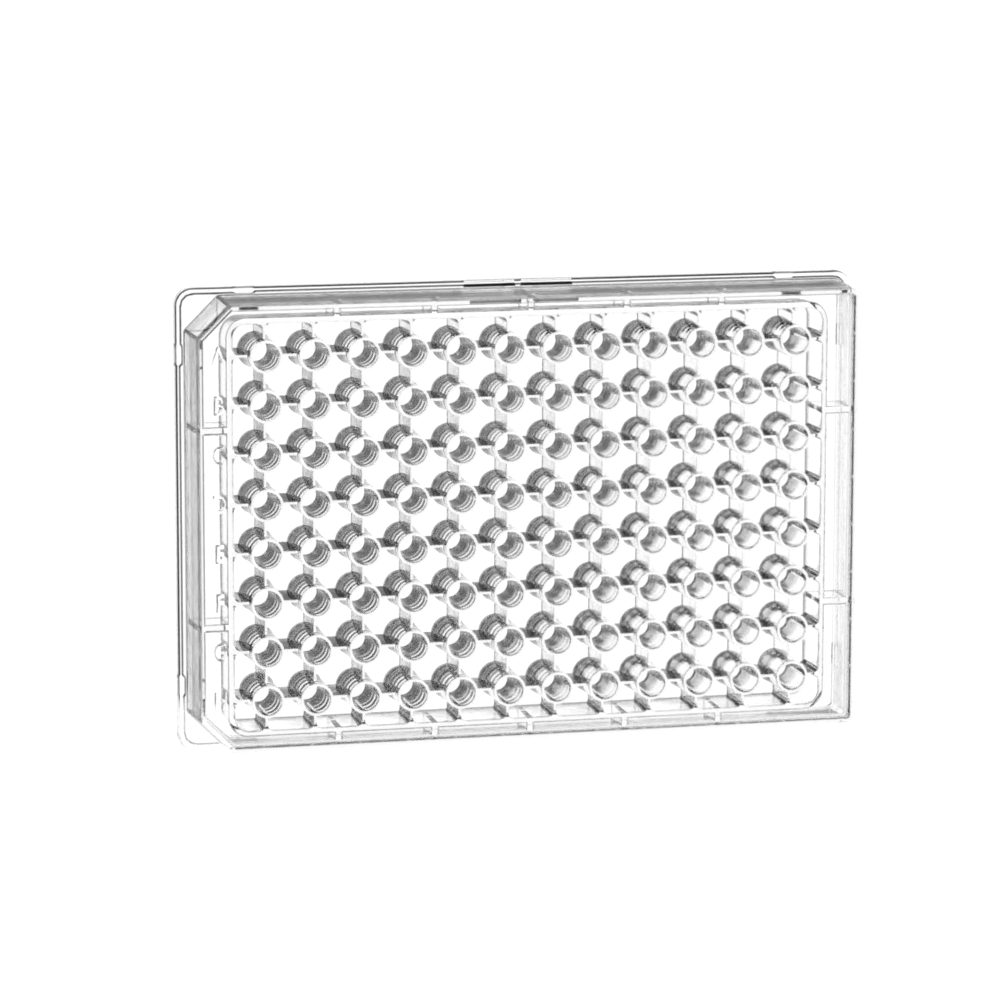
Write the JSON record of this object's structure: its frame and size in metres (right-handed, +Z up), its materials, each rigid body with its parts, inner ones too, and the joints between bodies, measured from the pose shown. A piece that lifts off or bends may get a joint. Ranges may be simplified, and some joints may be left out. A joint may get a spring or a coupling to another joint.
{
  "type": "well plate",
  "caption": "Clear plastic laboratory well plate: chimney wells in rows and columns inside a low walled tray with two cut corners and a stepped skirt.",
  "frame": {"origin": "centre of the footprint, on the plane that the skirt stands on", "axes": "+X along the rows of wells from column 1 to column 12, +Y towards row A, +Z up out of the wells' mouths"},
  "size_m": [0.1278, 0.0854, 0.0144],
  "materials": {
    "clear_polystyrene": "clear moulded polystyrene, glossy, untinted"
  },
  "bodies": {
    "root": {"well_plate": "clear_polystyrene"}
  },
  "joints": []
}
